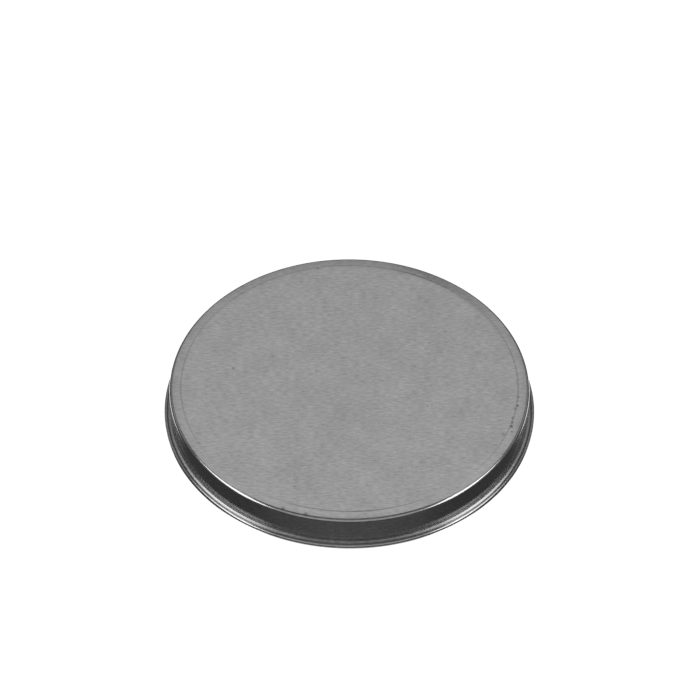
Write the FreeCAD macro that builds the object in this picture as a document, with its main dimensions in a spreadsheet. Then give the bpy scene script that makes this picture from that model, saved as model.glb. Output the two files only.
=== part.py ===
"""Shallow round candle tin: a drawn tinplate base under a slip lid that covers it to the foot,
filled as a three-wick candle.

Frame: +Z up along the tin's axis, origin on the axis at the plane the base stands on.
All sizes are in millimetres. Both sheet-metal pieces are one gauge thick all over, so each
section is an outer outline and the same outline one gauge inside it.
"""
import FreeCAD, Part
import Sketcher
import math
import os

SIZES = {
    # sheet metal, lid and base
    "sheet_gauge": 0.25,
    "panel_drop": 0.25,        # from the flat panel to the border's outer edge
    "panel_blend": 3.0,        # how softly the panel turns into its border
    "curl_sweep": 312,         # degrees that a raw edge is rolled through
    # lid
    "lid_radius": 50.0,        # outside of the skirt
    "lid_height": 9.85,
    "lid_lift_off_floor": 0.3,   # its curl clears the standing plane, so the base carries it
    "lid_panel_radius": 46.8,  # crease ring round the panel
    "lid_corner": 0.8,         # outside, between border and skirt
    "lid_curl": 1.08,          # outside radius of the curl at the skirt's foot
    # base
    "slip_gap": 0.3,           # between base wall and lid skirt, per side
    "base_height": 9.5,
    "base_panel_radius": 45.5,   # crease ring round the panel that the tin stands on
    "base_corner": 1.2,        # outside, between border and wall
    "base_curl": 0.9,          # outside radius of the inward curl at the mouth
    # candle
    "wax_level": 5.2,
    "meniscus": 0.5,           # climb of the wax at the wall
    "meniscus_blend": 1.2,
    "wick_circle": 24.0,       # radius of the circle that the wicks stand on
    "wick_radius": 1.0,
    "wick_top": 9.1,
    "wick_round": 0.35,
    "tab_radius": 7.5,
    "tab_gauge": 0.25,
    "tab_blend": 0.6,          # between disc and neck
    "neck_wall": 0.3,
    "neck_height": 3.0,
    "sticker_radius": 6.0,
    "sticker_height": 0.5,
}
WICK_COUNT = 3

doc = FreeCAD.newDocument("candle_tin")
sheet = doc.addObject("Spreadsheet::Sheet", "Sizes")
for row, (alias, number) in enumerate(SIZES.items(), start=1):
    sheet.set(f"A{row}", alias)
    sheet.set(f"B{row}", str(number))
    sheet.setAlias(f"B{row}", alias)
doc.recompute()


class Size:
    """A length in mm together with the spreadsheet expression that gives it."""

    def __init__(self, value, text):
        self.value = value
        self.text = text

    def __add__(self, other):
        return Size(self.value + other.value, f"({self.text} + {other.text})")

    def __sub__(self, other):
        return Size(self.value - other.value, f"({self.text} - {other.text})")


def size(alias):
    return Size(float(sheet.get(alias)), f"Sizes.{alias}")


ZERO = Size(0.0, "0")
UP = FreeCAD.Vector(0, 0, 1)

gauge = size("sheet_gauge")
panel_drop = size("panel_drop")
panel_blend = size("panel_blend")

lid_radius = size("lid_radius")
lid_low = size("lid_lift_off_floor")
lid_top = lid_low + size("lid_height")
lid_panel = size("lid_panel_radius")

base_radius = lid_radius - gauge - size("slip_gap")
base_inside = base_radius - gauge
base_height = size("base_height")
base_panel = size("base_panel_radius")
base_corner_inside = size("base_corner") - gauge
floor_level = gauge

wax_level = size("wax_level")
wick_circle = size("wick_circle")
wick_radius = size("wick_radius")
neck_radius = wick_radius + size("neck_wall")
tab_radius = size("tab_radius")
sticker_radius = size("sticker_radius")
sticker_top = floor_level + size("sticker_height")
tab_top = sticker_top + size("tab_gauge")
neck_top = tab_top + size("neck_height")


def origin_part(body, role):
    """The body's own origin plane or axis with that role."""
    return next(f for f in body.Origin.OriginFeatures if f.Role == role)


def new_body(name):
    body = doc.addObject("PartDesign::Body", name)
    body.Label = name
    return body


def new_sketch(body, name, plane="XZ_Plane"):
    """A sketch on one of the body's origin planes. On XZ_Plane its x is radius, its y height."""
    sketch = body.newObject("Sketcher::SketchObject", name)
    sketch.AttachmentSupport = [(origin_part(body, plane), "")]
    sketch.MapMode = "FlatFace"
    return sketch


def bind(sketch, constraint, length):
    """Adds a driving constraint whose value follows the spreadsheet."""
    index = sketch.addConstraint(constraint)
    sketch.setExpression(f"Constraints[{index}]", length.text)


def join(sketch, kind, *geometry):
    sketch.addConstraint(Sketcher.Constraint(kind, *geometry))


def fixed_point(sketch, across, up):
    """A construction point held at (across, up) from the sketch's origin."""
    place = FreeCAD.Vector(across.value, up.value, 0)
    point = sketch.addGeometry(Part.Point(place), True)
    bind(sketch, Sketcher.Constraint("DistanceX", -1, 1, point, 1, across.value), across)
    bind(sketch, Sketcher.Constraint("DistanceY", -1, 1, point, 1, up.value), up)
    return point


def bend_between(before, at, after, radius):
    """Where a bend leaves the straight edges that meet at a corner: (first, last, centre)."""
    back = (before - at).normalize()
    ahead = (after - at).normalize()
    half = back.getAngle(ahead) / 2
    run = radius / math.tan(half)
    centre = at + (back + ahead).normalize() * (radius / math.sin(half))
    return at + back * run, at + ahead * run, centre


def draw_bend(sketch, first, last, centre, radius, line_in, line_out, point):
    """An arc from first to last, tangent to the two lines whose corner is the point."""
    anticlockwise = (first - centre).cross(last - centre).z > 0
    low, high = (first, last) if anticlockwise else (last, first)
    in_end, out_end = (1, 2) if anticlockwise else (2, 1)
    begin = math.atan2(low.y - centre.y, low.x - centre.x)
    finish = math.atan2(high.y - centre.y, high.x - centre.x)
    circle = Part.Circle(centre, UP, radius.value)
    arc = sketch.addGeometry(Part.ArcOfCircle(circle, begin, finish), False)
    join(sketch, "Tangent", line_in, 2, arc, in_end)
    join(sketch, "Tangent", arc, out_end, line_out, 1)
    join(sketch, "PointOnObject", point, 1, line_in)
    join(sketch, "PointOnObject", point, 1, line_out)
    bind(sketch, Sketcher.Constraint("Radius", arc, radius.value), radius)


def draw_outline(sketch, outline):
    """Draws a closed outline and constrains it fully.

    outline lists (across, up) or (across, up, bend) Sizes. Each point is a construction
    point held by the spreadsheet. A straight edge runs between neighbours, and a bend is
    an arc tangent to the two edges that meet there.
    """
    count = len(outline)
    places = [FreeCAD.Vector(across.value, up.value, 0) for across, up, *_ in outline]
    bends = [bend[0] if bend else None for _, _, *bend in outline]
    arrive, leave, centres = list(places), list(places), list(places)
    for i, bend in enumerate(bends):
        if bend:
            after = places[(i + 1) % count]
            curve = bend_between(places[i - 1], places[i], after, bend.value)
            arrive[i], leave[i], centres[i] = curve

    points = [fixed_point(sketch, across, up) for across, up, *_ in outline]
    lines = []
    for i in range(count):
        edge = Part.LineSegment(leave[i], arrive[(i + 1) % count])
        lines.append(sketch.addGeometry(edge, False))
    for i, bend in enumerate(bends):
        line_in, line_out, point = lines[i - 1], lines[i], points[i]
        if bend:
            draw_bend(sketch, arrive[i], leave[i], centres[i], bend, line_in, line_out, point)
        else:
            join(sketch, "Coincident", line_in, 2, point, 1)
            join(sketch, "Coincident", line_out, 1, point, 1)
    return points


def turn_round(body, kind, sketch, name, axis="V_Axis"):
    """Turns a section a full circle about one of the sketch's axes, adding or cutting."""
    feature = body.newObject(f"PartDesign::{kind}", name)
    feature.Profile = sketch
    feature.ReferenceAxis = (sketch, [axis])
    feature.Angle = 360
    body.Tip = feature
    doc.recompute()
    return feature


def turned(name, outline):
    """A body turned from its half section."""
    body = new_body(name)
    sketch = new_sketch(body, f"{name}_section")
    draw_outline(sketch, outline)
    turn_round(body, "Revolution", sketch, f"{name}_turn")
    return body


def add_curl(body, across, up, radius, begin):
    """Rolls the raw edge round (across, up), from the angle begin in degrees, anticlockwise.

    The rolled edge stops just short of the wall that it came from.
    """
    sketch = new_sketch(body, f"{body.Label}_curl_section")
    centre = FreeCAD.Vector(across.value, up.value, 0)
    point = fixed_point(sketch, across, up)
    ends = [math.radians(begin), math.radians(begin + float(sheet.get("curl_sweep")))]
    arcs = []
    for bend in (radius - gauge, radius):
        circle = Part.Circle(centre, UP, bend.value)
        arc = sketch.addGeometry(Part.ArcOfCircle(circle, *ends), False)
        join(sketch, "Coincident", arc, 3, point, 1)
        bind(sketch, Sketcher.Constraint("Radius", arc, bend.value), bend)
        arcs.append(arc)
    lines = []
    for end, angle in enumerate(ends, start=1):
        ray = FreeCAD.Vector(math.cos(angle), math.sin(angle), 0)
        inner = centre + ray * (radius - gauge).value
        outer = centre + ray * radius.value
        line = sketch.addGeometry(Part.LineSegment(inner, outer), False)
        join(sketch, "Coincident", line, 1, arcs[0], end)
        join(sketch, "Coincident", line, 2, arcs[1], end)
        join(sketch, "PointOnObject", point, 1, line)
        lines.append(line)
    join(sketch, "Horizontal", lines[0])
    closing = math.radians(360 - float(sheet.get("curl_sweep")))
    index = sketch.addConstraint(
        Sketcher.Constraint("Angle", lines[1], 1, lines[0], 1, closing))
    sketch.setExpression(f"Constraints[{index}]", "(360 - Sizes.curl_sweep) * 1 deg")
    turn_round(body, "Revolution", sketch, f"{body.Label}_curl")


def make_lid():
    """Drawn slip lid: flat panel, border that falls away from it, skirt, outward curl."""
    skirt_inside = lid_radius - gauge
    border_top = lid_top - panel_drop
    corner = size("lid_corner")
    curl = size("lid_curl")
    curl_middle = lid_low + curl
    body = turned("tin_lid", [
        (ZERO, lid_top),
        (lid_panel, lid_top, panel_blend),
        (lid_radius, border_top, corner),
        (lid_radius, curl_middle),
        (skirt_inside, curl_middle),
        (skirt_inside, border_top - gauge, corner - gauge),
        (lid_panel, lid_top - gauge, panel_blend),
        (ZERO, lid_top - gauge),
    ])
    add_curl(body, skirt_inside + curl, curl_middle, curl, 180)
    return body


def make_base():
    """Drawn base: flat panel it stands on, border that rises from it, wall, inward curl."""
    curl = size("base_curl")
    curl_middle = base_height - curl
    body = turned("tin_base", [
        (ZERO, ZERO),
        (base_panel, ZERO, panel_blend),
        (base_radius, panel_drop, size("base_corner")),
        (base_radius, curl_middle),
        (base_inside, curl_middle),
        (base_inside, panel_drop + gauge, base_corner_inside),
        (base_panel, floor_level, panel_blend),
        (ZERO, floor_level),
    ])
    add_curl(body, base_radius - curl, curl_middle, curl, 0)
    return body


def make_wax():
    """Poured wax: fills the base to its level and closes round each wick, tab and sticker."""
    meniscus = size("meniscus")
    body = turned("wax_fill", [
        (ZERO, floor_level),
        (base_panel, floor_level, panel_blend),
        (base_inside, panel_drop + gauge, base_corner_inside),
        (base_inside, wax_level + meniscus),
        (base_inside - meniscus - meniscus, wax_level, size("meniscus_blend")),
        (ZERO, wax_level),
    ])
    above = wax_level + meniscus
    below = floor_level - gauge
    sketch = new_sketch(body, "wick_pocket_section")
    points = draw_outline(sketch, [
        (wick_circle, below),
        (wick_circle + sticker_radius, below),
        (wick_circle + sticker_radius, sticker_top),
        (wick_circle + tab_radius, sticker_top),
        (wick_circle + tab_radius, tab_top),
        (wick_circle + neck_radius, tab_top, size("tab_blend")),
        (wick_circle + neck_radius, neck_top),
        (wick_circle + wick_radius, neck_top),
        (wick_circle + wick_radius, above),
        (wick_circle, above),
    ])
    low = FreeCAD.Vector(wick_circle.value, below.value, 0)
    high = FreeCAD.Vector(wick_circle.value, above.value, 0)
    axis = sketch.addGeometry(Part.LineSegment(low, high), True)
    join(sketch, "Coincident", axis, 1, points[0], 1)
    join(sketch, "Coincident", axis, 2, points[-1], 1)
    full = body.Shape.Volume
    pocket = turn_round(body, "Groove", sketch, "wick_pocket", "Axis0")
    one_cut = full - body.Shape.Volume
    pattern = body.newObject("PartDesign::PolarPattern", "wick_pockets")
    pattern.Originals = [pocket]
    pattern.Axis = (origin_part(body, "Z_Axis"), [""])
    pattern.Angle = 360
    pattern.Occurrences = WICK_COUNT
    body.Tip = pattern
    doc.recompute()
    all_cut = full - body.Shape.Volume
    if one_cut <= 0 or abs(all_cut - WICK_COUNT * one_cut) > 0.01 * all_cut:
        raise RuntimeError(f"the wick pockets cut {all_cut:.1f} mm3, one cuts {one_cut:.1f} mm3")
    return body


def make_sticker(number):
    """Round double-sided foam pad that holds a tab to the base."""
    body = new_body(f"wick_sticker_{number}")
    sketch = new_sketch(body, f"sticker_outline_{number}", "XY_Plane")
    circle = Part.Circle(FreeCAD.Vector(), UP, sticker_radius.value)
    ring = sketch.addGeometry(circle, False)
    join(sketch, "Coincident", ring, 3, -1, 1)
    bind(sketch, Sketcher.Constraint("Radius", ring, sticker_radius.value), sticker_radius)
    sketch.setExpression("AttachmentOffset.Base.z", floor_level.text)
    pad = body.newObject("PartDesign::Pad", f"sticker_pad_{number}")
    pad.Profile = sketch
    pad.setExpression("Length", "Sizes.sticker_height")
    body.Tip = pad
    return body


def make_tab(number):
    """Pressed wick tab: a thin disc with a neck that grips the wick."""
    return turned(f"wick_tab_{number}", [
        (wick_radius, sticker_top),
        (tab_radius, sticker_top),
        (tab_radius, tab_top),
        (neck_radius, tab_top, size("tab_blend")),
        (neck_radius, neck_top),
        (wick_radius, neck_top),
    ])


def make_wick(number):
    """Braided cotton wick, waxed stiff, from the sticker up through neck and wax."""
    wick_top = size("wick_top")
    return turned(f"wick_{number}", [
        (ZERO, sticker_top),
        (wick_radius, sticker_top),
        (wick_radius, wick_top, size("wick_round")),
        (ZERO, wick_top),
    ])


def stand_on_circle(body, number):
    """Puts a piece that is modelled on its own axis where wick 1, 2 or 3 stands."""
    angle = 360 * (number - 1) / WICK_COUNT
    for axis, function in (("x", "cos"), ("y", "sin")):
        place = f"Sizes.wick_circle * {function}({angle:g} deg)"
        body.setExpression(f"Placement.Base.{axis}", place)


def check(bodies):
    """Stops on a failed object, a loose sketch, or a piece that isn't one closed solid."""
    for thing in doc.Objects:
        if {"Invalid", "Error"} & set(thing.State):
            raise RuntimeError(f"{thing.Name} failed: {thing.State}")
        if thing.TypeId == "Sketcher::SketchObject" and not thing.FullyConstrained:
            raise RuntimeError(f"{thing.Name} is not fully constrained")
    for body in bodies:
        shape = body.Shape
        if shape.isNull() or not shape.isValid() or len(shape.Solids) != 1:
            raise RuntimeError(f"{body.Label} is not one valid solid")


def export(bodies):
    os.makedirs("parts", exist_ok=True)
    for body in bodies:
        body.Shape.exportStep(f"parts/{body.Label}.step")
        box = body.Shape.optimalBoundingBox()
        print(f"{body.Label}: {body.Shape.Volume:.1f} mm3, {box.XLength:.2f} mm wide,",
              f"z {box.ZMin:.2f} to {box.ZMax:.2f}")


pieces = [make_lid(), make_base(), make_wax()]
for wick in range(1, WICK_COUNT + 1):
    for make in (make_sticker, make_tab, make_wick):
        piece = make(wick)
        stand_on_circle(piece, wick)
        pieces.append(piece)
doc.recompute()
check(pieces)
export(pieces)
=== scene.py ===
"""Shallow round candle tin with a slip lid, filled as a three-wick candle."""
import math

import bmesh
import bpy
from mathutils import Matrix, Vector


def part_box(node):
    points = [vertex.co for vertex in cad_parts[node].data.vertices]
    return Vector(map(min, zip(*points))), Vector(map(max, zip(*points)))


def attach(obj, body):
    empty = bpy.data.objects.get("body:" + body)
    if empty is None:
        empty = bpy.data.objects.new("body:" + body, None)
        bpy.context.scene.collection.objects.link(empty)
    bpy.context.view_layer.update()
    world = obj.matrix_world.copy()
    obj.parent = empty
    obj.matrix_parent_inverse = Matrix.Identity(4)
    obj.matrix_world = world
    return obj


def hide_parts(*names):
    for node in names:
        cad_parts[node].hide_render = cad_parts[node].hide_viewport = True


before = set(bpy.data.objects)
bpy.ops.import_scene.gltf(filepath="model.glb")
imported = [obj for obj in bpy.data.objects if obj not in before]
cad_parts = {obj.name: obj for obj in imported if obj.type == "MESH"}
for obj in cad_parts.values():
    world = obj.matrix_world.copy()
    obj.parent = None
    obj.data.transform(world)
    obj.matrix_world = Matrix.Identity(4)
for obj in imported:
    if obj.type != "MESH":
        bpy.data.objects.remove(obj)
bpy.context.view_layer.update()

bl_info = {
    "name": "Candle Tin",
    "version": (1, 0, 0),
    "blender": (4, 5, 0),
    "location": "3D View > Sidebar > Candle Tin",
    "description": "Builds a shallow slip-lid candle tin with its wax and wicks",
    "category": "Add Mesh",
}

MM = 0.001
SEGMENTS = 360             # round the tin, so that its edge stays smooth in a close view
SMALL_SEGMENTS = 96        # round a tab, a sticker or a hole in the wax
WICKS = (1, 2, 3)

LID_LOW, LID_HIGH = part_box("tin_lid")
BASE_LOW, BASE_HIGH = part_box("tin_base")
WAX_LOW, WAX_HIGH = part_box("wax_fill")
WICK_LOW, WICK_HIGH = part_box("wick_1")
TAB_LOW, TAB_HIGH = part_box("wick_tab_1")
STICKER_LOW, STICKER_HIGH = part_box("wick_sticker_1")


def linear(code):
    """An sRGB hex colour such as 'c0ffee' as linear red, green and blue."""
    channels = [int(code[i:i + 2], 16) / 255 for i in (0, 2, 4)]
    return tuple(c / 12.92 if c <= 0.04045 else ((c + 0.055) / 1.055) ** 2.4 for c in channels)


def length(name, description, default):
    """A length that the user can change."""
    return bpy.props.FloatProperty(
        name=name, description=description, default=default, unit="LENGTH", precision=5)


def angle(name, description, degrees):
    """An angle that the user can change, with its default in degrees."""
    return bpy.props.FloatProperty(
        name=name, description=description, default=math.radians(degrees), unit="ROTATION")


def colour(name, description, code):
    """A colour that the user can change, with its default as an sRGB hex code."""
    return bpy.props.FloatVectorProperty(
        name=name, description=description, default=linear(code), subtype="COLOR", size=3,
        min=0, max=1)


class CandleTinSizes(bpy.types.PropertyGroup):
    gauge: length("Sheet", "Thickness of the tinplate", 0.25 * MM)
    lid_radius: length("Lid radius", "Outside of the skirt", LID_HIGH.x - 1.91 * MM)
    lid_panel: length("Lid panel", "Radius of the crease round the panel", 46.8 * MM)
    panel_drop: length("Panel drop", "From a panel to its border's edge", 0.25 * MM)
    crease_depth: length("Crease", "Height of the step at the lid's crease", 0.075 * MM)
    lid_corner: length("Lid corner", "Outside radius between border and skirt", 0.9 * MM)
    shoulder_drop: length("Shoulder", "From the skirt's foot down to the bead", 0.26 * MM)
    bead: length("Bead", "Outside radius of the rolled bead at the lid's edge", 0.62 * MM)
    base_radius: length("Base radius", "Outside of the base's wall", BASE_HIGH.x)
    base_panel: length("Base panel", "Radius of the crease under the base", 45.5 * MM)
    base_corner: length("Base corner", "Outside radius between border and wall", 1.2 * MM)
    base_curl: length("Base curl", "Outside radius of the mouth's rolled edge", 0.9 * MM)
    base_sweep: angle("Base sweep", "How far the mouth's edge is rolled round", 312)
    wax_level: length("Wax level", "Height of the poured wax", 5.2 * MM)
    meniscus: length("Meniscus", "Climb of the wax at the wall and the wicks", 0.45 * MM)
    braid_pitch: length("Braid pitch", "Rise of a strand in one turn", 4.6 * MM)
    neck: length("Neck", "Outside radius of a tab's neck", 1.3 * MM)


class CandleTinColours(bpy.types.PropertyGroup):
    tinplate: colour("Tinplate", "Satin side of the rolled sheet", "c9c9c9")
    # this dark colour also paints the shade on the bead's inner flank, in the groove
    soil_and_groove_shade: colour("Handling marks", "Dark specks and scuffs on the sheet", "4a4a4a")
    wax: colour("Wax", "Poured wax", "f1e9d6")
    wax_deep: colour("Wax, deep", "Wax where it is thicker or cooled last", "e6d9bd")
    cotton: colour("Cotton", "Waxed cotton braid", "ebe3d0")
    cotton_shade: colour("Cotton, shaded", "Between the fibres of the braid", "b9a98a")
    tab: colour("Tab", "Tinned steel of the wick tabs", "b8bab9")
    foam: colour("Foam", "Foam pad under a tab", "e9e9e4")


# Modelling tools

def arc(centre, radius, start, finish, steps):
    """(across, up) points along an arc, both ends included, angles in degrees."""
    points = []
    for i in range(steps + 1):
        turn = math.radians(start + (finish - start) * i / steps)
        points.append((centre[0] + radius * math.cos(turn), centre[1] + radius * math.sin(turn)))
    return points


def only(*pieces):
    """Selects these objects alone and makes the last one active."""
    bpy.ops.object.select_all(action="DESELECT")
    for piece in pieces:
        piece.select_set(True)
    bpy.context.view_layer.objects.active = pieces[-1]


def pick(piece, test):
    """In edit mode: selects only the vertices whose place passes the test."""
    bpy.ops.mesh.select_mode(type="VERT")
    bpy.ops.mesh.select_all(action="DESELECT")
    mesh = bmesh.from_edit_mesh(piece.data)
    for vertex in mesh.verts:
        vertex.select_set(test(vertex.co))
    mesh.select_flush_mode()
    bmesh.update_edit_mesh(piece.data)


def turned_shell(name, profile, faces_up=True, segments=SEGMENTS, start="TRIFAN", close=False):
    """A shape turned about Z: a small disc or ring, grown ring by ring along the profile.

    start="NOTHING" leaves the first ring open, and close fills the last one. A shell that is
    left open is turned so that its first face looks up, or down without faces_up.
    """
    (first_radius, first_height), *rest = profile
    bpy.ops.object.select_all(action="DESELECT")
    bpy.ops.mesh.primitive_circle_add(
        vertices=segments, radius=first_radius, location=(0, 0, first_height), fill_type=start)
    piece = bpy.context.object
    piece.name = name
    bpy.ops.object.transform_apply(location=True, rotation=True, scale=True)
    bpy.ops.object.mode_set(mode="EDIT")
    pick(piece, lambda place: place.xy.length > first_radius / 2)
    radius, height = first_radius, first_height
    for next_radius, next_height in rest:
        bpy.ops.mesh.extrude_region()
        bpy.ops.transform.translate(value=(0, 0, next_height - height))
        grow = next_radius / radius
        bpy.ops.transform.resize(value=(grow, grow, 1), center_override=(0, 0, next_height))
        radius, height = next_radius, next_height
    if close:
        bpy.ops.mesh.edge_face_add()
    bpy.ops.mesh.select_all(action="SELECT")
    bpy.ops.mesh.normals_make_consistent(inside=False)
    bpy.ops.object.mode_set(mode="OBJECT")
    if not close and (piece.data.polygons[0].normal.z > 0) != faces_up:
        piece.data.flip_normals()
    return piece


def apply(piece, kind, **settings):
    """Adds a modifier with these settings and applies it."""
    only(piece)
    modifier = piece.modifiers.new(kind.title(), kind)
    for key, value in settings.items():
        setattr(modifier, key, value)
    bpy.ops.object.modifier_apply(modifier=modifier.name)


def smooth(piece, degrees=35):
    """Shades a piece smooth, apart from edges that turn by more than this."""
    only(piece)
    bpy.ops.object.shade_smooth_by_angle(angle=math.radians(degrees))


def copy_turned(piece, name, degrees, offset=Vector()):
    """A copy with its own mesh, turned about Z and then moved."""
    twin = piece.copy()
    twin.data = piece.data.copy()
    twin.name = name
    bpy.context.collection.objects.link(twin)
    twin.data.transform(Matrix.Translation(offset) @ Matrix.Rotation(math.radians(degrees), 4, "Z"))
    return twin


def finish_piece(piece, material, body, slot, *nodes):
    """Gives a piece its material, hangs it on the body it rides on, and hides the parts it stands
    for.
    """
    piece.data.materials.clear()
    piece.data.materials.append(material)
    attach(piece, body)
    if nodes:
        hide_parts(*nodes)


def at_each_wick(piece, material, slot, node_name):
    """Copies a piece that is modelled on the Z axis to each wick's place, and removes it."""
    for number in WICKS:
        node_low, node_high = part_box(f"{node_name}_{number}")
        middle = (node_low + node_high) / 2
        turn = 360 * (number - 1) / len(WICKS)
        twin = copy_turned(piece, f"{node_name}_{number}_shaped", turn,
                           Vector((middle.x, middle.y, 0)))
        finish_piece(twin, material, "tin", slot, f"{node_name}_{number}")
    only(piece)
    bpy.ops.object.delete()


# Material tools

def new_material(name):
    """A material with an output alone, and that output."""
    material = bpy.data.materials.new(name)
    material.use_nodes = True
    material.node_tree.nodes.clear()
    return material, material.node_tree.nodes.new("ShaderNodeOutputMaterial")


def node(tree, kind, settings=None, **links):
    """Adds a node with its settings and links.

    A link is an input's name with _ for each space, or i and its number, and is given a value
    or a socket.
    """
    made = tree.nodes.new(kind)
    for key, value in (settings or {}).items():
        setattr(made, key, value)
    for key, value in links.items():
        socket = made.inputs[int(key[1:])] if key[0] == "i" and key[1:].isdigit() \
            else made.inputs[key.replace("_", " ")]
        if isinstance(value, bpy.types.NodeSocket):
            tree.links.new(value, socket)
        else:
            socket.default_value = value
    return made


def rgba(values):
    """A colour with its alpha, as a colour input needs it."""
    return (*values, 1.0)


ADD = {"operation": "ADD"}
MULTIPLY = {"operation": "MULTIPLY"}
MAXIMUM = {"operation": "MAXIMUM"}
SCALE = {"operation": "SCALE"}
DISTANCE = {"operation": "DISTANCE"}
SMOOTHSTEP = {"interpolation_type": "SMOOTHSTEP"}
COLOUR_MIX = {"data_type": "RGBA"}
VALUE_MIX = {"data_type": "FLOAT"}

# Where handling has nicked or rubbed the lid: place across and back in mm, reach in mm, and
# how dark the mark is, from 0 to 1
LID_MARKS = (
    (46.8, -4.6, 0.9, 0.25),
    (46.5, -8.0, 0.55, 0.80),
    (45.6, -9.2, 0.8, 0.45),
    (44.9, -12.6, 0.6, 0.60),
    (44.8, -14.2, 0.6, 0.75),
    (44.6, -15.7, 0.7, 0.90),
    (44.7, -17.7, 0.5, 0.70),
    (42.1, -18.7, 0.9, 0.40),
    (-17.7, -45.9, 0.9, 0.60),
    (-11.7, -47.9, 1.0, 0.60),
    (-32.4, 5.8, 0.5, 0.70),
    (-11.6, 14.4, 0.4, 0.40),
)
# Soft clouds in the coat: place across and back in mm, reach in mm, and darkness
LID_CLOUDS = (
    (-0.8, -8.0, 12.0, 0.045),
    (-13.0, -32.0, 10.0, 0.05),
    (22.0, 16.0, 14.0, 0.02),
)


def roll_streaks(tree, sheet):
    """Short broken streaks along X, made coarser than the real 0.02 mm grain so that they show."""
    streak_width, streak_length = 0.55 * MM, 1.8 * MM
    wave, sway = 5 * MM, 1.6 * MM
    warp = node(tree, "ShaderNodeTexNoise", Vector=sheet, Scale=1 / wave, Detail=2.0)
    shift = node(tree, "ShaderNodeVectorMath", MULTIPLY, i0=warp.outputs["Color"],
                 i1=(sway, sway, 0))
    wavy = node(tree, "ShaderNodeVectorMath", ADD, i0=sheet, i1=shift.outputs["Vector"])
    stretch = node(tree, "ShaderNodeMapping", Vector=wavy.outputs["Vector"],
                   Scale=(1 / streak_length, 1 / streak_width, 0))
    return node(tree, "ShaderNodeTexNoise", Vector=stretch.outputs["Vector"],
                Scale=1.0, Detail=2.0, Roughness=0.55).outputs["Fac"]


def coat_colour(tree, colours, sheet, streaks, clouds):
    """The clean coat: streaked, mottled about every 9 mm, and darker in a few wide clouds."""
    mottle = 9 * MM
    tone = node(tree, "ShaderNodeMapRange", Value=streaks, From_Min=0.25, From_Max=0.75,
                To_Min=0.80, To_Max=1.20).outputs["Result"]
    coat = node(tree, "ShaderNodeTexNoise", Vector=sheet, Scale=1 / mottle,
                Detail=3.0, Roughness=0.55).outputs["Fac"]
    mottled = node(tree, "ShaderNodeMapRange", Value=coat, From_Min=0.3, From_Max=0.7,
                   To_Min=0.935, To_Max=1.065).outputs["Result"]
    tone = node(tree, "ShaderNodeMath", MULTIPLY, i0=tone, i1=mottled).outputs["Value"]
    for across, back, reach, darkness in clouds:
        away = node(tree, "ShaderNodeVectorMath", DISTANCE, i0=sheet,
                    i1=(across * MM, back * MM, 0)).outputs["Value"]
        shade = node(tree, "ShaderNodeMapRange", SMOOTHSTEP, Value=away, From_Min=0.0,
                     From_Max=reach * MM, To_Min=1 - darkness, To_Max=1.0).outputs["Result"]
        tone = node(tree, "ShaderNodeMath", MULTIPLY, i0=tone, i1=shade).outputs["Value"]
    return node(tree, "ShaderNodeVectorMath", SCALE, i0=colours.tinplate,
                Scale=tone).outputs["Vector"]


def dirt_and_groove_shade(tree, sheet, radius, height, marks, groove_shade):
    """How soiled or shaded each point is: fine specks, ragged marks, and a ring of painted shade
    on the bead's inner flank, where it faces the skirt across the groove.

    groove_shade is the radius and height of the painted shade ring's middle, or None.
    """
    speck, rag = 1.1 * MM, 0.7 * MM
    # the ring of painted shade: full within the core, gone past the reach, measured in the (radius,
    # height) section
    groove_shade_core, groove_shade_reach, groove_shade_darkness = 0.10 * MM, 0.34 * MM, 0.68
    specks = node(tree, "ShaderNodeTexNoise", Vector=sheet, Scale=1 / speck,
                  Detail=0.0).outputs["Fac"]
    soiled_or_shaded = node(tree, "ShaderNodeMapRange", Value=specks, From_Min=0.83, From_Max=0.88,
                  To_Min=0.0, To_Max=0.5).outputs["Result"]
    # painted shade where the bead faces the skirt across the groove, added to the dirt
    if groove_shade:
        section = node(tree, "ShaderNodeCombineXYZ", X=radius, Y=height).outputs["Vector"]
        away = node(tree, "ShaderNodeVectorMath", DISTANCE, i0=section,
                    i1=(*groove_shade, 0)).outputs["Value"]
        ring = node(tree, "ShaderNodeMapRange", SMOOTHSTEP, Value=away, From_Min=groove_shade_core,
                    From_Max=groove_shade_reach, To_Min=groove_shade_darkness, To_Max=0.0).outputs["Result"]
        soiled_or_shaded = node(tree, "ShaderNodeMath", MAXIMUM, i0=soiled_or_shaded, i1=ring).outputs["Value"]
    ragged = node(tree, "ShaderNodeTexNoise", Vector=sheet, Scale=1 / rag,
                  Detail=2.0).outputs["Fac"]
    for across, back, reach, darkness in marks:
        away = node(tree, "ShaderNodeVectorMath", DISTANCE, i0=sheet,
                    i1=(across * MM, back * MM, 0)).outputs["Value"]
        # doubled, because the ragged noise it is multiplied by is about a half
        near = node(tree, "ShaderNodeMapRange", Value=away, From_Min=0.0, From_Max=reach * MM,
                    To_Min=2 * darkness, To_Max=0.0).outputs["Result"]
        broken = node(tree, "ShaderNodeMath", MULTIPLY, i0=near, i1=ragged).outputs["Value"]
        soiled_or_shaded = node(tree, "ShaderNodeMath", MAXIMUM, i0=soiled_or_shaded, i1=broken).outputs["Value"]
    return soiled_or_shaded


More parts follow.
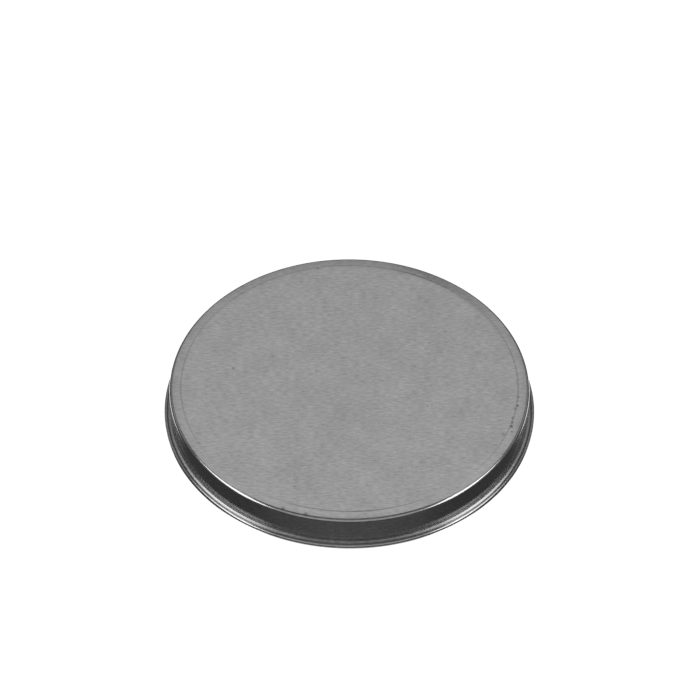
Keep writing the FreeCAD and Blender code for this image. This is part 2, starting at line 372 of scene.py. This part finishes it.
def tinplate_material(colours, name, panel_height, marks=(), clouds=(), groove_shade=None):
    """Tinplate: cold-rolled steel with a matt tin coat, drawn in a press.

    The rolls leave short broken streaks along X, which the drawing carries down the walls, so
    the pattern is laid on the flat sheet: a wall's distance from the panel counts outwards.
    The coat is softly mottled, the drawing puckers and roughens the far end of the wall, and
    handling leaves specks and marks. A ring of painted shade darkens the bead where it faces the
    skirt. The satin coat spreads reflections without losing them.
    """
    material, output = new_material(name)
    tree = material.node_tree
    place = node(tree, "ShaderNodeTexCoord").outputs["Object"]
    shader = node(tree, "ShaderNodeBsdfPrincipled", Metallic=1.0)
    tree.links.new(shader.outputs["BSDF"], output.inputs["Surface"])

    # the point's place in the flat sheet, before drawing
    axes = node(tree, "ShaderNodeSeparateXYZ", Vector=place).outputs
    flat = node(tree, "ShaderNodeCombineXYZ", X=axes["X"], Y=axes["Y"]).outputs["Vector"]
    radius = node(tree, "ShaderNodeVectorMath", {"operation": "LENGTH"}, i0=flat).outputs["Value"]
    rise = node(tree, "ShaderNodeMath", {"operation": "SUBTRACT"}, i0=axes["Z"],
                i1=panel_height).outputs["Value"]
    depth = node(tree, "ShaderNodeMath", {"operation": "ABSOLUTE"}, i0=rise).outputs["Value"]
    outward = node(tree, "ShaderNodeVectorMath", {"operation": "NORMALIZE"},
                   i0=flat).outputs["Vector"]
    sheet_radius = node(tree, "ShaderNodeMath", ADD, i0=radius, i1=depth).outputs["Value"]
    sheet = node(tree, "ShaderNodeVectorMath", SCALE, i0=outward,
                 Scale=sheet_radius).outputs["Vector"]

    # how far a point was worked: not at all near the panel, and fully at the wall's far end
    drawn_from, drawn_to = 5.0 * MM, 8.5 * MM
    drawn = node(tree, "ShaderNodeMapRange", SMOOTHSTEP, Value=depth, From_Min=drawn_from,
                 From_Max=drawn_to, To_Min=0.0, To_Max=1.0).outputs["Result"]
    streaks = roll_streaks(tree, sheet)

    # the drawn wall is rougher than the rest, up to where the curling tool has rubbed the bead
    rubbed_from, rubbed_to = 50.75 * MM, 51.1 * MM
    rolled = node(tree, "ShaderNodeMapRange", Value=streaks, From_Min=0.3, From_Max=0.7,
                  To_Min=0.11, To_Max=0.15).outputs["Result"]
    unrubbed = node(tree, "ShaderNodeMapRange", SMOOTHSTEP, Value=radius, From_Min=rubbed_from,
                    From_Max=rubbed_to, To_Min=0.17, To_Max=0.03).outputs["Result"]
    worked = node(tree, "ShaderNodeMath", MULTIPLY, i0=drawn, i1=unrubbed).outputs["Value"]
    rough = node(tree, "ShaderNodeMath", ADD, i0=rolled, i1=worked)
    tree.links.new(rough.outputs["Value"], shader.inputs["Roughness"])

    clean = coat_colour(tree, colours, sheet, streaks, clouds)
    soiled_or_shaded = dirt_and_groove_shade(tree, sheet, radius, axes["Z"], marks, groove_shade)
    # the clean coat, with the dirt and the painted shade of the groove ring laid over it in one
    # dark colour
    surface = node(tree, "ShaderNodeMix", COLOUR_MIX, i0=soiled_or_shaded, i6=clean,
                   i7=rgba(colours.soil_and_groove_shade))
    tree.links.new(surface.outputs[2], shader.inputs["Base Color"])

    # puckers, short strokes up the wall's worked end, over the grain, which is flatter there.
    # Their noise is read on the unit circle, so its scale is the wall's radius over a spacing.
    wall_radius, pucker_spacing = 50.0, 0.5
    pucker_height, grain_height, ironed_height = 0.3, 0.5, 0.1
    strokes = node(tree, "ShaderNodeTexNoise", Vector=outward,
                   Scale=wall_radius / pucker_spacing, Detail=1.0).outputs["Fac"]
    shallow = node(tree, "ShaderNodeMath", MULTIPLY, i0=drawn, i1=pucker_height).outputs["Value"]
    puckers = node(tree, "ShaderNodeMath", MULTIPLY, i0=strokes, i1=shallow).outputs["Value"]
    ironed = node(tree, "ShaderNodeMapRange", Value=drawn, To_Min=grain_height,
                  To_Max=ironed_height).outputs["Result"]
    grain = node(tree, "ShaderNodeMath", MULTIPLY, i0=streaks, i1=ironed).outputs["Value"]
    relief = node(tree, "ShaderNodeMath", ADD, i0=grain, i1=puckers).outputs["Value"]
    bump = node(tree, "ShaderNodeBump", Strength=0.35, Distance=0.02 * MM, Height=relief)
    tree.links.new(bump.outputs["Normal"], shader.inputs["Normal"])
    return material


def wax_material(colours):
    """Candle wax, poured warm and cooled: creamy, faintly translucent, softly glossy.

    Frosting mottles it at about 1.5 mm, cooling leaves slow waves about 12 mm across.
    """
    material, output = new_material("candle_wax_poured")
    tree = material.node_tree
    place = node(tree, "ShaderNodeTexCoord").outputs["Object"]
    shader = node(tree, "ShaderNodeBsdfPrincipled", IOR=1.44, Subsurface_Weight=0.45,
                  Subsurface_Radius=(1.0, 0.75, 0.5), Subsurface_Scale=1.6 * MM)
    tree.links.new(shader.outputs["BSDF"], output.inputs["Surface"])
    frost = node(tree, "ShaderNodeTexNoise", Vector=place, Scale=1 / (1.5 * MM), Detail=4.0,
                 Roughness=0.6).outputs["Fac"]
    waves = node(tree, "ShaderNodeTexNoise", Vector=place, Scale=1 / (12 * MM),
                 Detail=1.0).outputs["Fac"]
    mottle = node(tree, "ShaderNodeMath", MULTIPLY, i0=frost, i1=waves).outputs["Value"]
    factor = node(tree, "ShaderNodeMapRange", Value=mottle, From_Min=0.12, From_Max=0.42)
    body = node(tree, "ShaderNodeMix", COLOUR_MIX, i0=factor.outputs["Result"],
                i6=rgba(colours.wax_deep), i7=rgba(colours.wax))
    tree.links.new(body.outputs[2], shader.inputs["Base Color"])
    gloss = node(tree, "ShaderNodeMapRange", Value=frost, From_Min=0.3, From_Max=0.7,
                 To_Min=0.32, To_Max=0.48)
    tree.links.new(gloss.outputs["Result"], shader.inputs["Roughness"])
    fine = node(tree, "ShaderNodeBump", Strength=0.3, Distance=0.03 * MM, Height=frost)
    slow = node(tree, "ShaderNodeBump", Strength=0.5, Distance=0.4 * MM, Height=waves,
                Normal=fine.outputs["Normal"])
    tree.links.new(slow.outputs["Normal"], shader.inputs["Normal"])
    return material


def cotton_material(colours):
    """Braided cotton primed with wax: fibres 0.1 mm apart run along each strand, half sealed."""
    material, output = new_material("cotton_braid_waxed")
    tree = material.node_tree
    place = node(tree, "ShaderNodeTexCoord").outputs["Object"]
    shader = node(tree, "ShaderNodeBsdfPrincipled", IOR=1.46, Roughness=0.62,
                  Subsurface_Weight=0.25, Subsurface_Radius=(1.0, 0.8, 0.6),
                  Subsurface_Scale=0.5 * MM, Sheen_Weight=0.15)
    tree.links.new(shader.outputs["BSDF"], output.inputs["Surface"])
    along = node(tree, "ShaderNodeMapping", Vector=place,
                 Scale=(1 / (0.10 * MM), 1 / (0.10 * MM), 1 / (0.6 * MM)))
    fibres = node(tree, "ShaderNodeTexNoise", Vector=along.outputs["Vector"], Scale=1.0,
                  Detail=2.0).outputs["Fac"]
    factor = node(tree, "ShaderNodeMapRange", Value=fibres, From_Min=0.25, From_Max=0.6)
    body = node(tree, "ShaderNodeMix", COLOUR_MIX, i0=factor.outputs["Result"],
                i6=rgba(colours.cotton_shade), i7=rgba(colours.cotton))
    tree.links.new(body.outputs[2], shader.inputs["Base Color"])
    bump = node(tree, "ShaderNodeBump", Strength=0.6, Distance=0.04 * MM, Height=fibres)
    tree.links.new(bump.outputs["Normal"], shader.inputs["Normal"])
    return material


def tab_material(colours):
    """Tinned steel strip, stamped: brighter than the tin, with 0.15 mm strip lines along X."""
    material, output = new_material("tinned_steel_stamped")
    tree = material.node_tree
    place = node(tree, "ShaderNodeTexCoord").outputs["Object"]
    shader = node(tree, "ShaderNodeBsdfPrincipled", Metallic=1.0)
    tree.links.new(shader.outputs["BSDF"], output.inputs["Surface"])
    stretch = node(tree, "ShaderNodeMapping", Vector=place,
                   Scale=(1 / (3 * MM), 1 / (0.15 * MM), 1 / (0.15 * MM)))
    lines = node(tree, "ShaderNodeTexNoise", Vector=stretch.outputs["Vector"], Scale=1.0,
                 Detail=2.0).outputs["Fac"]
    tone = node(tree, "ShaderNodeMapRange", Value=lines, From_Min=0.3, From_Max=0.7,
                To_Min=0.9, To_Max=1.08)
    shade = node(tree, "ShaderNodeVectorMath", SCALE, i0=colours.tab,
                 Scale=tone.outputs["Result"])
    tree.links.new(shade.outputs["Vector"], shader.inputs["Base Color"])
    rough = node(tree, "ShaderNodeMapRange", Value=lines, From_Min=0.3, From_Max=0.7,
                 To_Min=0.18, To_Max=0.28)
    tree.links.new(rough.outputs["Result"], shader.inputs["Roughness"])
    bump = node(tree, "ShaderNodeBump", Strength=0.3, Distance=0.01 * MM, Height=lines)
    tree.links.new(bump.outputs["Normal"], shader.inputs["Normal"])
    return material


def foam_material(colours):
    """Polyethylene foam, die-cut from sheet: white and dull, with cells about 0.3 mm across."""
    material, output = new_material("polyethylene_foam_cut")
    tree = material.node_tree
    place = node(tree, "ShaderNodeTexCoord").outputs["Object"]
    shader = node(tree, "ShaderNodeBsdfPrincipled", IOR=1.5, Roughness=0.8)
    tree.links.new(shader.outputs["BSDF"], output.inputs["Surface"])
    cells = node(tree, "ShaderNodeTexVoronoi", Vector=place, Scale=1 / (0.3 * MM))
    tone = node(tree, "ShaderNodeMapRange", Value=cells.outputs["Distance"], From_Min=0.0,
                From_Max=0.8, To_Min=0.82, To_Max=1.0)
    shade = node(tree, "ShaderNodeVectorMath", SCALE, i0=colours.foam,
                 Scale=tone.outputs["Result"])
    tree.links.new(shade.outputs["Vector"], shader.inputs["Base Color"])
    bump = node(tree, "ShaderNodeBump", Strength=0.5, Distance=0.06 * MM,
                Height=cells.outputs["Distance"])
    tree.links.new(bump.outputs["Normal"], shader.inputs["Normal"])
    return material


# Pieces

class CANDLETIN_OT_lid(bpy.types.Operator):
    """Builds the slip lid: panel, border, skirt, shoulder and rolled bead"""
    bl_idname = "candle_tin.lid"
    bl_label = "Lid"

    def execute(self, context):
        size = context.scene.candle_tin_sizes
        top, low = LID_HIGH.z, LID_LOW.z
        edge, corner, crease = size.lid_radius, size.lid_corner, size.lid_panel
        slope = math.degrees(math.atan2(size.panel_drop, edge - crease))
        corner_up = (top - size.panel_drop * (edge - corner - crease)
                     / (edge - crease) - corner / math.cos(math.radians(slope)))
        bend, step = 0.34 * MM, 0.16 * MM          # half-widths of the crease and its steep part
        bead_middle = (edge + 1.08 * MM, low + size.bead)
        foot, shoulder_reach = low + 1.15 * MM, 0.58 * MM
        # painted shade: the middle of a dark ring where the bead faces the skirt across the groove
        groove_shade = (edge + 0.94 * MM, foot)           # on the bead, where it faces the skirt
        profile = [
            *[(radius * MM, top) for radius in (1, 4, 10, 18, 26, 34, 41, 45)],
            (crease - bend, top),
            (crease - step, top - 0.15 * size.crease_depth),
            (crease + step, top - 0.85 * size.crease_depth),
            (crease + bend, top - size.crease_depth),
            *arc((edge - corner, corner_up), corner, 90 - slope, 0, 12),
            (edge, low + 6.0 * MM),
            (edge, low + 3.0 * MM),
            (edge, foot + 0.1 * MM),
            (edge + 0.02 * MM, foot + 0.02 * MM),
            (edge + 0.10 * MM, foot - 0.04 * MM),
            (edge + shoulder_reach, foot - size.shoulder_drop),
            *arc(bead_middle, size.bead, 150, -150, 36),
        ]
        lid = turned_shell("lid", profile)
        apply(lid, "SOLIDIFY", thickness=size.gauge, offset=-1.0, use_even_offset=True)
        smooth(lid)
        material = tinplate_material(context.scene.candle_tin_colours, "tinplate_matt_rolled_lid",
                                     top, LID_MARKS, LID_CLOUDS, groove_shade)
        finish_piece(lid, material, "lid", "tinplate", "tin_lid")
        return {"FINISHED"}


class CANDLETIN_OT_base(bpy.types.Operator):
    """Builds the drawn base: panel, border, wall and the curl turned in at its mouth"""
    bl_idname = "candle_tin.base"
    bl_label = "Base"

    def execute(self, context):
        size = context.scene.candle_tin_sizes
        edge, corner, curl, crease = (size.base_radius, size.base_corner, size.base_curl,
                                      size.base_panel)
        slope = math.degrees(math.atan2(size.panel_drop, edge - crease))
        corner_up = (size.panel_drop * (edge - corner - crease) / (edge - crease)
                     + corner / math.cos(math.radians(slope)))
        curl_middle = (edge - curl, BASE_HIGH.z - curl)
        bend = 0.5 * MM                            # half-width of the crease
        profile = [
            *[(radius * MM, BASE_LOW.z) for radius in (1, 4, 10, 18, 26, 34, 40, 44)],
            (crease - bend, BASE_LOW.z),
            (crease, BASE_LOW.z + 0.008 * MM),
            (crease + bend, BASE_LOW.z + size.panel_drop * bend / (edge - crease)),
            *arc((edge - corner, corner_up), corner, slope - 90, 0, 14),
            (edge, 3.0 * MM),
            (edge, 5.5 * MM),
            *arc(curl_middle, curl, 0, math.degrees(size.base_sweep), 40),
        ]
        base = turned_shell("base", profile, faces_up=False)
        apply(base, "SOLIDIFY", thickness=size.gauge, offset=-1.0, use_even_offset=True)
        smooth(base)
        material = tinplate_material(context.scene.candle_tin_colours,
                                     "tinplate_matt_rolled_base", BASE_LOW.z)
        finish_piece(base, material, "tin", "tinplate", "tin_base")
        return {"FINISHED"}


class CANDLETIN_OT_wax(bpy.types.Operator):
    """Builds the poured wax: it climbs the wall and each wick, and closes round each tab"""
    bl_idname = "candle_tin.wax"
    bl_label = "Wax"

    FEWEST_FACES = 2000
    CLIMB_REACH = {"wall": 1.9 * MM, "wick": 1.6 * MM}
    CLIMB_STEPS = (0.08, 0.18, 0.30, 0.45, 0.62, 0.80)

    def execute(self, context):
        size = context.scene.candle_tin_sizes
        level, climb = size.wax_level, size.meniscus
        wall, corner = WAX_HIGH.x, size.base_corner - size.gauge
        lip = wall - 0.06 * MM
        floor = WAX_LOW.z
        profile = [
            *[(radius * MM, floor) for radius in (1, 10, 20, 30, 40)],
            (size.base_panel, floor + 0.02 * MM),
            *arc((wall - corner, floor + size.panel_drop + corner), corner, -90, 0, 10),
            (wall, level),
            (wall, level + climb),
            (lip, level + climb),
            *[(lip - self.CLIMB_REACH["wall"] * part, self.surface(size, part))
              for part in (*self.CLIMB_STEPS, 1.0)],
            *[(radius * MM, level) for radius in (44, 38, 31)],
            *[(radius * MM, level - 0.01 * MM) for radius in (24, 17, 10, 5, 2)],
        ]
        wax = turned_shell("wax", profile, close=True)
        for number in WICKS:
            node_low, node_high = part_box(f"wick_{number}")
            middle = (node_low + node_high) / 2
            wick, place = node_high.x - middle.x, Vector((middle.x, middle.y, 0))
            for shape, operation in ((self.collar(size, wick), "UNION"),
                                     (self.pocket(size, wick), "DIFFERENCE")):
                shape.data.transform(Matrix.Translation(place))
                apply(wax, "BOOLEAN", object=shape, operation=operation, solver="EXACT")
                only(shape)
                bpy.ops.object.delete()
        smooth(wax, 40)
        if len(wax.data.polygons) < self.FEWEST_FACES:         # a failed cut leaves few or none
            raise RuntimeError("the wax lost its faces in a cut")
        finish_piece(wax, wax_material(context.scene.candle_tin_colours), "tin", "wax", "wax_fill")
        return {"FINISHED"}

    def surface(self, size, part):
        """Height of the climbing wax, from its top at part 0 down to the level at 1."""
        return size.wax_level + size.meniscus * (1 - part) ** 2.6

    def collar(self, size, wick):
        """The wax that climbs a wick. It stops just above the level and is sunk below it."""
        steps = [(wick + self.CLIMB_REACH["wick"] * part, self.surface(size, part))
                 for part in (0, *self.CLIMB_STEPS, 0.97)]
        sunk = size.wax_level - 1.0 * MM
        return turned_shell("collar", [
            (wick * 0.5, sunk), (steps[-1][0], sunk), *reversed(steps),
            (wick * 0.5, steps[0][1])],
            segments=SMALL_SEGMENTS, close=True)

    def pocket(self, size, wick):
        """The room that a wick, its tab and its sticker take up in the wax."""
        sticker, tab = (STICKER_HIGH.x - STICKER_LOW.x) / 2, (TAB_HIGH.x - TAB_LOW.x) / 2
        below, above = WAX_LOW.z - 0.5 * MM, size.wax_level + 2 * MM
        pad, disc = STICKER_HIGH.z, STICKER_HIGH.z + size.gauge
        neck, start = size.neck, 0.5 * MM
        soaked = wick - 0.1 * MM                   # the wax soaks into the braid
        return turned_shell("pocket", [
            (start, below), (sticker, below), (sticker, pad), (tab, pad), (tab, disc),
            (neck + 0.6 * MM, disc), (neck + 0.18 * MM, disc + 0.18 * MM),
            (neck, disc + 0.6 * MM), (neck, TAB_HIGH.z), (soaked, TAB_HIGH.z),
            (soaked, above), (start, above)],
            segments=SMALL_SEGMENTS, close=True)


class CANDLETIN_OT_wicks(bpy.types.Operator):
    """Braids a wick from eight flat strands round a core, and copies it"""
    bl_idname = "candle_tin.wicks"
    bl_label = "Wicks"

    def execute(self, context):
        size = context.scene.candle_tin_sizes
        low, high = WICK_LOW.z, WICK_HIGH.z
        outside, core = (WICK_HIGH.x - WICK_LOW.x) / 2, 0.56 * MM
        parts = [turned_shell("core", [
            (0.15 * MM, low), (0.52 * MM, low + 0.05 * MM), (core, low + 0.3 * MM),
            *[(core, low + rise * MM) for rise in (2, 4, 6)],
            (core, high - 0.35 * MM), (0.50 * MM, high - 0.12 * MM),
            (0.34 * MM, high - 0.03 * MM), (0.12 * MM, high)],
            segments=24, close=True)]
        # the two hands are cut at different heights, so that their ends don't share a plane
        for hand, cut_below in ((1, 0.15 * MM), (-1, 0.27 * MM)):
            strand = self.strand(hand, outside, low, high - cut_below, size.braid_pitch)
            parts += [copy_turned(strand, "strand", 90 * number) for number in (1, 2, 3)]
            parts.append(strand)
        only(*parts)
        bpy.ops.object.join()
        wick = bpy.context.object
        smooth(wick, 50)
        at_each_wick(wick, cotton_material(context.scene.candle_tin_colours), "cotton", "wick")
        return {"FINISHED"}

    def strand(self, hand, outside, low, high, pitch):
        """One strand of the braid. Strands of the other hand rise where this one dips."""
        middle, weave = 0.66 * outside, 0.11 * outside
        thin, wide = 0.19 * outside, 0.37 * outside
        steps, dips = 72, 4                        # it dips under four strands in each turn
        climb, turn = (high - low) / steps, hand * 360 * (high - low) / pitch / steps
        bpy.ops.object.select_all(action="DESELECT")
        bpy.ops.mesh.primitive_circle_add(
            vertices=10, radius=1.0, location=(middle + hand * weave, 0, low), fill_type="NGON")
        piece = bpy.context.object
        piece.scale = (thin, wide, 1)
        bpy.ops.object.transform_apply(location=True, rotation=True, scale=True)
        bpy.ops.object.mode_set(mode="EDIT")
        bpy.ops.mesh.select_all(action="SELECT")
        radius = middle + hand * weave
        for step in range(1, steps + 1):
            wanted = middle + hand * weave * math.cos(math.radians(dips * turn * step))
            bpy.ops.mesh.extrude_region()
            bpy.ops.transform.translate(value=(0, 0, climb))
            bpy.ops.transform.rotate(value=math.radians(turn), orient_axis="Z",
                                     center_override=(0, 0, low))
            grow = wanted / radius
            bpy.ops.transform.resize(value=(grow, grow, 1), center_override=(0, 0, low))
            radius = wanted
        bpy.ops.mesh.select_all(action="SELECT")
        bpy.ops.mesh.normals_make_consistent(inside=False)
        bpy.ops.object.mode_set(mode="OBJECT")
        return piece


class CANDLETIN_OT_tabs(bpy.types.Operator):
    """Presses a wick tab with its stiffening rings and lipped neck, and copies it"""
    bl_idname = "candle_tin.tabs"
    bl_label = "Tabs"

    def execute(self, context):
        size = context.scene.candle_tin_sizes
        edge, top = (TAB_HIGH.x - TAB_LOW.x) / 2, TAB_HIGH.z
        sheet, bend = 0.18 * MM, 0.55 * MM
        disc, ring = TAB_LOW.z + 0.2 * MM, TAB_LOW.z + size.gauge
        neck = size.neck - 0.02 * MM
        waist = neck - 0.04 * MM                   # where the neck is crimped on the wick
        profile = [
            (neck - 0.14 * MM, top - 0.02 * MM), (neck - 0.05 * MM, top),
            (neck, top - 0.06 * MM), (neck, top - 0.3 * MM),
            (waist, top - 0.5 * MM), (waist, top - 1.1 * MM),
            (neck, top - 1.3 * MM), (neck, disc + 0.6 * MM),
            *[(neck + bend * (1 - math.cos(math.radians(turn))),
               disc + bend * (1 - math.sin(math.radians(turn)))) for turn in (25, 50, 70, 90)],
            (3.0 * MM, disc), (3.4 * MM, ring), (3.8 * MM, ring), (4.2 * MM, disc),
            (5.6 * MM, disc), (5.9 * MM, ring), (6.3 * MM, ring), (6.6 * MM, disc),
            (edge - 0.25 * MM, disc), (edge - 0.06 * MM, disc - 0.02 * MM),
            (edge, disc - 0.07 * MM),
        ]
        tab = turned_shell("tab", profile, segments=SMALL_SEGMENTS, start="NOTHING")
        apply(tab, "SOLIDIFY", thickness=sheet, offset=-1.0, use_even_offset=True)
        smooth(tab)
        at_each_wick(tab, tab_material(context.scene.candle_tin_colours), "tab_steel", "wick_tab")
        return {"FINISHED"}


class CANDLETIN_OT_stickers(bpy.types.Operator):
    """Cuts the foam sticker that holds a tab, and copies it"""
    bl_idname = "candle_tin.stickers"
    bl_label = "Stickers"

    def execute(self, context):
        edge = (STICKER_HIGH.x - STICKER_LOW.x) / 2
        low, high = STICKER_LOW.z, STICKER_HIGH.z
        skin, pinch = 0.06 * MM, 0.12 * MM         # the two faces' film, and the cut's squeeze
        profile = [
            (2 * MM, low), (edge - pinch, low), (edge - 0.3 * pinch, low + 0.4 * skin),
            (edge - 0.3 * pinch, low + skin), (edge - 0.8 * pinch, low + 1.6 * skin),
            (edge, (low + high) / 2), (edge - 0.8 * pinch, high - 1.6 * skin),
            (edge - 0.3 * pinch, high - skin), (edge - 0.3 * pinch, high - 0.4 * skin),
            (edge - pinch, high), (2 * MM, high),
        ]
        pad = turned_shell("pad", profile, segments=SMALL_SEGMENTS, close=True)
        smooth(pad)
        at_each_wick(pad, foam_material(context.scene.candle_tin_colours), "foam_pad",
                     "wick_sticker")
        return {"FINISHED"}


# What the metal reflects. Each area has its brightness, and the sides it fades in or out at: an
# axis of the direction from the tin (X right, Y back, Z up), where the area is still nothing,
# and where it is full. Areas that overlap add up, and a negative one takes light away.
ROOM = (
    ("all round", 0.05, ()),
    ("walls", 0.08, (("Z", -0.1, 0.1), ("Z", 1.05, 0.9))),
    ("card behind", 0.47, (("Z", 0.18, 0.90), ("Z", 0.91, 0.85), ("X", -0.32, -0.16),
                           ("X", 0.31, 0.15), ("Y", 0.0, 0.2))),
    ("wall in front", 0.31, (("Z", -0.22, 0.42), ("Z", 0.97, 0.74), ("Y", -0.15, -0.5),
                             ("X", -0.75, -0.45), ("X", 0.75, 0.45))),
    ("table in front", 0.04, (("Z", -0.3, -0.5), ("Y", -0.2, -0.7))),
    ("paper below", 0.35, (("Z", -0.78, -0.92),)),
    ("table behind", 1.5, (("Z", -0.33, -0.45), ("Z", -0.73, -0.66), ("Y", 0.38, 0.52))),
    ("stand behind", -0.18, (("X", 0.03, 0.083), ("X", 0.125, 0.09), ("Z", 0.69, 0.655),
                             ("Z", 0.40, 0.50), ("Y", 0.0, 0.2))),
    ("ceiling", 0.15, (("Z", 0.975, 0.992),)),
    ("wall at left", 0.17, (("X", -0.35, -0.5), ("Y", 0.2, 0.4), ("Z", 0.2, 0.45),
                            ("Z", 0.75, 0.65))),
    ("wall at right", 0.17, (("X", 0.35, 0.5), ("Y", 0.2, 0.4), ("Z", 0.2, 0.45),
                             ("Z", 0.75, 0.65))),
)
PAPER = 1.05               # background and floor as the camera sees them, just past white
GLOW = 0.95                # light on matt surfaces from all round, in place of ROOM


class CANDLETIN_OT_stage(bpy.types.Operator):
    """Adds the floor, the soft lights and the camera"""
    bl_idname = "candle_tin.stage"
    bl_label = "Stage"

    def execute(self, context):
        self.floor()
        self.world(context.scene)
        for side, word in ((-1, "left"), (1, "right")):
            self.strip_light(f"strip_light_{word}", side)
        self.camera(context.scene)
        context.scene.view_settings.view_transform = "Standard"
        return {"FINISHED"}

    def floor(self):
        """Plain paper that is seen from above only, and gives no light."""
        bpy.ops.object.select_all(action="DESELECT")
        bpy.ops.mesh.primitive_plane_add(size=6.0, location=(0, 0, 0))
        floor = bpy.context.object
        floor.name = "floor"
        material, output = new_material("white_paper_overlit")
        tree = material.node_tree
        glow = node(tree, "ShaderNodeEmission", Color=(1, 1, 1, 1), Strength=PAPER)
        clear = node(tree, "ShaderNodeBsdfTransparent")
        under = node(tree, "ShaderNodeNewGeometry").outputs["Backfacing"]
        both = node(tree, "ShaderNodeMixShader", Fac=under, i1=glow.outputs["Emission"],
                    i2=clear.outputs["BSDF"])
        tree.links.new(both.outputs["Shader"], output.inputs["Surface"])
        floor.data.materials.append(material)
        floor.visible_glossy = False
        floor.visible_shadow = False
        floor.visible_diffuse = False

    def world(self, scene):
        """Metal reflects the areas in ROOM, matt surfaces get GLOW, the camera sees PAPER."""
        world = bpy.data.worlds.new("studio")
        scene.world = world
        world.use_nodes = True
        tree = world.node_tree
        tree.nodes.clear()
        direction = node(tree, "ShaderNodeTexCoord").outputs["Generated"]
        axes = node(tree, "ShaderNodeSeparateXYZ", Vector=direction).outputs
        light = 0.0
        for label, brightness, sides in ROOM:
            area = brightness
            for axis, dark, full in sides:
                fade = node(tree, "ShaderNodeMapRange", SMOOTHSTEP, Value=axes[axis],
                            From_Min=min(dark, full), From_Max=max(dark, full),
                            To_Min=float(dark > full), To_Max=float(full > dark))
                area = node(tree, "ShaderNodeMath", {**MULTIPLY, "label": label},
                            i0=fade.outputs["Result"], i1=area).outputs["Value"]
            light = node(tree, "ShaderNodeMath", ADD, i0=light, i1=area).outputs["Value"]
        rays = node(tree, "ShaderNodeLightPath").outputs
        matt = node(tree, "ShaderNodeMix", VALUE_MIX, i0=rays["Is Diffuse Ray"],
                    i2=light, i3=GLOW).outputs["Result"]
        shown = node(tree, "ShaderNodeMix", VALUE_MIX, i0=rays["Is Camera Ray"],
                     i2=matt, i3=PAPER)
        back = node(tree, "ShaderNodeBackground", Color=(1, 1, 1, 1),
                    Strength=shown.outputs["Result"])
        output = node(tree, "ShaderNodeOutputWorld")
        tree.links.new(back.outputs["Background"], output.inputs["Surface"])

    def strip_light(self, name, side):
        """A strip softbox a metre away at one side, its front end low and its back end high."""
        turn, lift, tilt = math.radians(side * 71), math.radians(40), side * math.radians(45)
        long, short, brightness = 1.15, 0.40, 1.75
        outward = Vector((math.sin(turn) * math.cos(lift), -math.cos(turn) * math.cos(lift),
                          math.sin(lift)))
        data = bpy.data.lights.new(name, "AREA")
        data.shape = "RECTANGLE"
        data.size, data.size_y = long, short
        data.energy = brightness * math.pi * long * short      # makes its face this bright
        lamp = bpy.data.objects.new(name, data)
        bpy.context.collection.objects.link(lamp)
        lamp.location = outward
        lamp.rotation_mode = "QUATERNION"
        aim = (-outward).to_track_quat("-Z", "Y").to_matrix()
        lamp.rotation_quaternion = (aim @ Matrix.Rotation(tilt, 3, "Z")).to_quaternion()
        lamp.visible_camera = False

    def camera(self, scene):
        """A long lens, 47 degrees up, that holds the tin a little below the middle."""
        lens, distance, lift = 165.95, 0.8961, math.radians(46.79)
        rise, yaw, roll = math.radians(0.621), math.radians(-0.0066), math.radians(0.2349)
        target = Vector((0, 0, LID_HIGH.z - 0.442 * MM))
        data = bpy.data.cameras.new("camera")
        data.lens = lens
        data.clip_start, data.clip_end = 0.05, 20
        camera = bpy.data.objects.new("camera", data)
        bpy.context.collection.objects.link(camera)
        camera.location = target + distance * Vector((0, -math.cos(lift), math.sin(lift)))
        aim = (Matrix.Rotation(math.pi / 2 - lift + rise, 3, "X") @ Matrix.Rotation(yaw, 3, "Y")
               @ Matrix.Rotation(roll, 3, "Z"))
        camera.rotation_euler = aim.to_euler()
        scene.camera = camera


class CANDLETIN_PT_panel(bpy.types.Panel):
    """Lists the steps, and the sizes and colours they use"""
    bl_label = "Candle Tin"
    bl_idname = "CANDLETIN_PT_panel"
    bl_space_type = "VIEW_3D"
    bl_region_type = "UI"
    bl_category = "Candle Tin"

    def draw(self, context):
        for step in STEPS:
            self.layout.operator(step.bl_idname)
        for group in (context.scene.candle_tin_sizes, context.scene.candle_tin_colours):
            for name in group.bl_rna.properties.keys()[2:]:    # past rna_type and name
                self.layout.prop(group, name)


STEPS = (CANDLETIN_OT_lid, CANDLETIN_OT_base, CANDLETIN_OT_wax, CANDLETIN_OT_wicks,
         CANDLETIN_OT_tabs, CANDLETIN_OT_stickers, CANDLETIN_OT_stage)
CLASSES = (CandleTinSizes, CandleTinColours, *STEPS, CANDLETIN_PT_panel)


def register():
    for item in CLASSES:
        bpy.utils.register_class(item)
    scene = bpy.types.Scene
    scene.candle_tin_sizes = bpy.props.PointerProperty(type=CandleTinSizes)
    scene.candle_tin_colours = bpy.props.PointerProperty(type=CandleTinColours)


def unregister():
    del bpy.types.Scene.candle_tin_colours
    del bpy.types.Scene.candle_tin_sizes
    for item in reversed(CLASSES):
        bpy.utils.unregister_class(item)


def main():
    register()
    for step in STEPS:
        group, name = step.bl_idname.split(".")
        getattr(getattr(bpy.ops, group), name)()


if __name__ == "__main__":
    main()
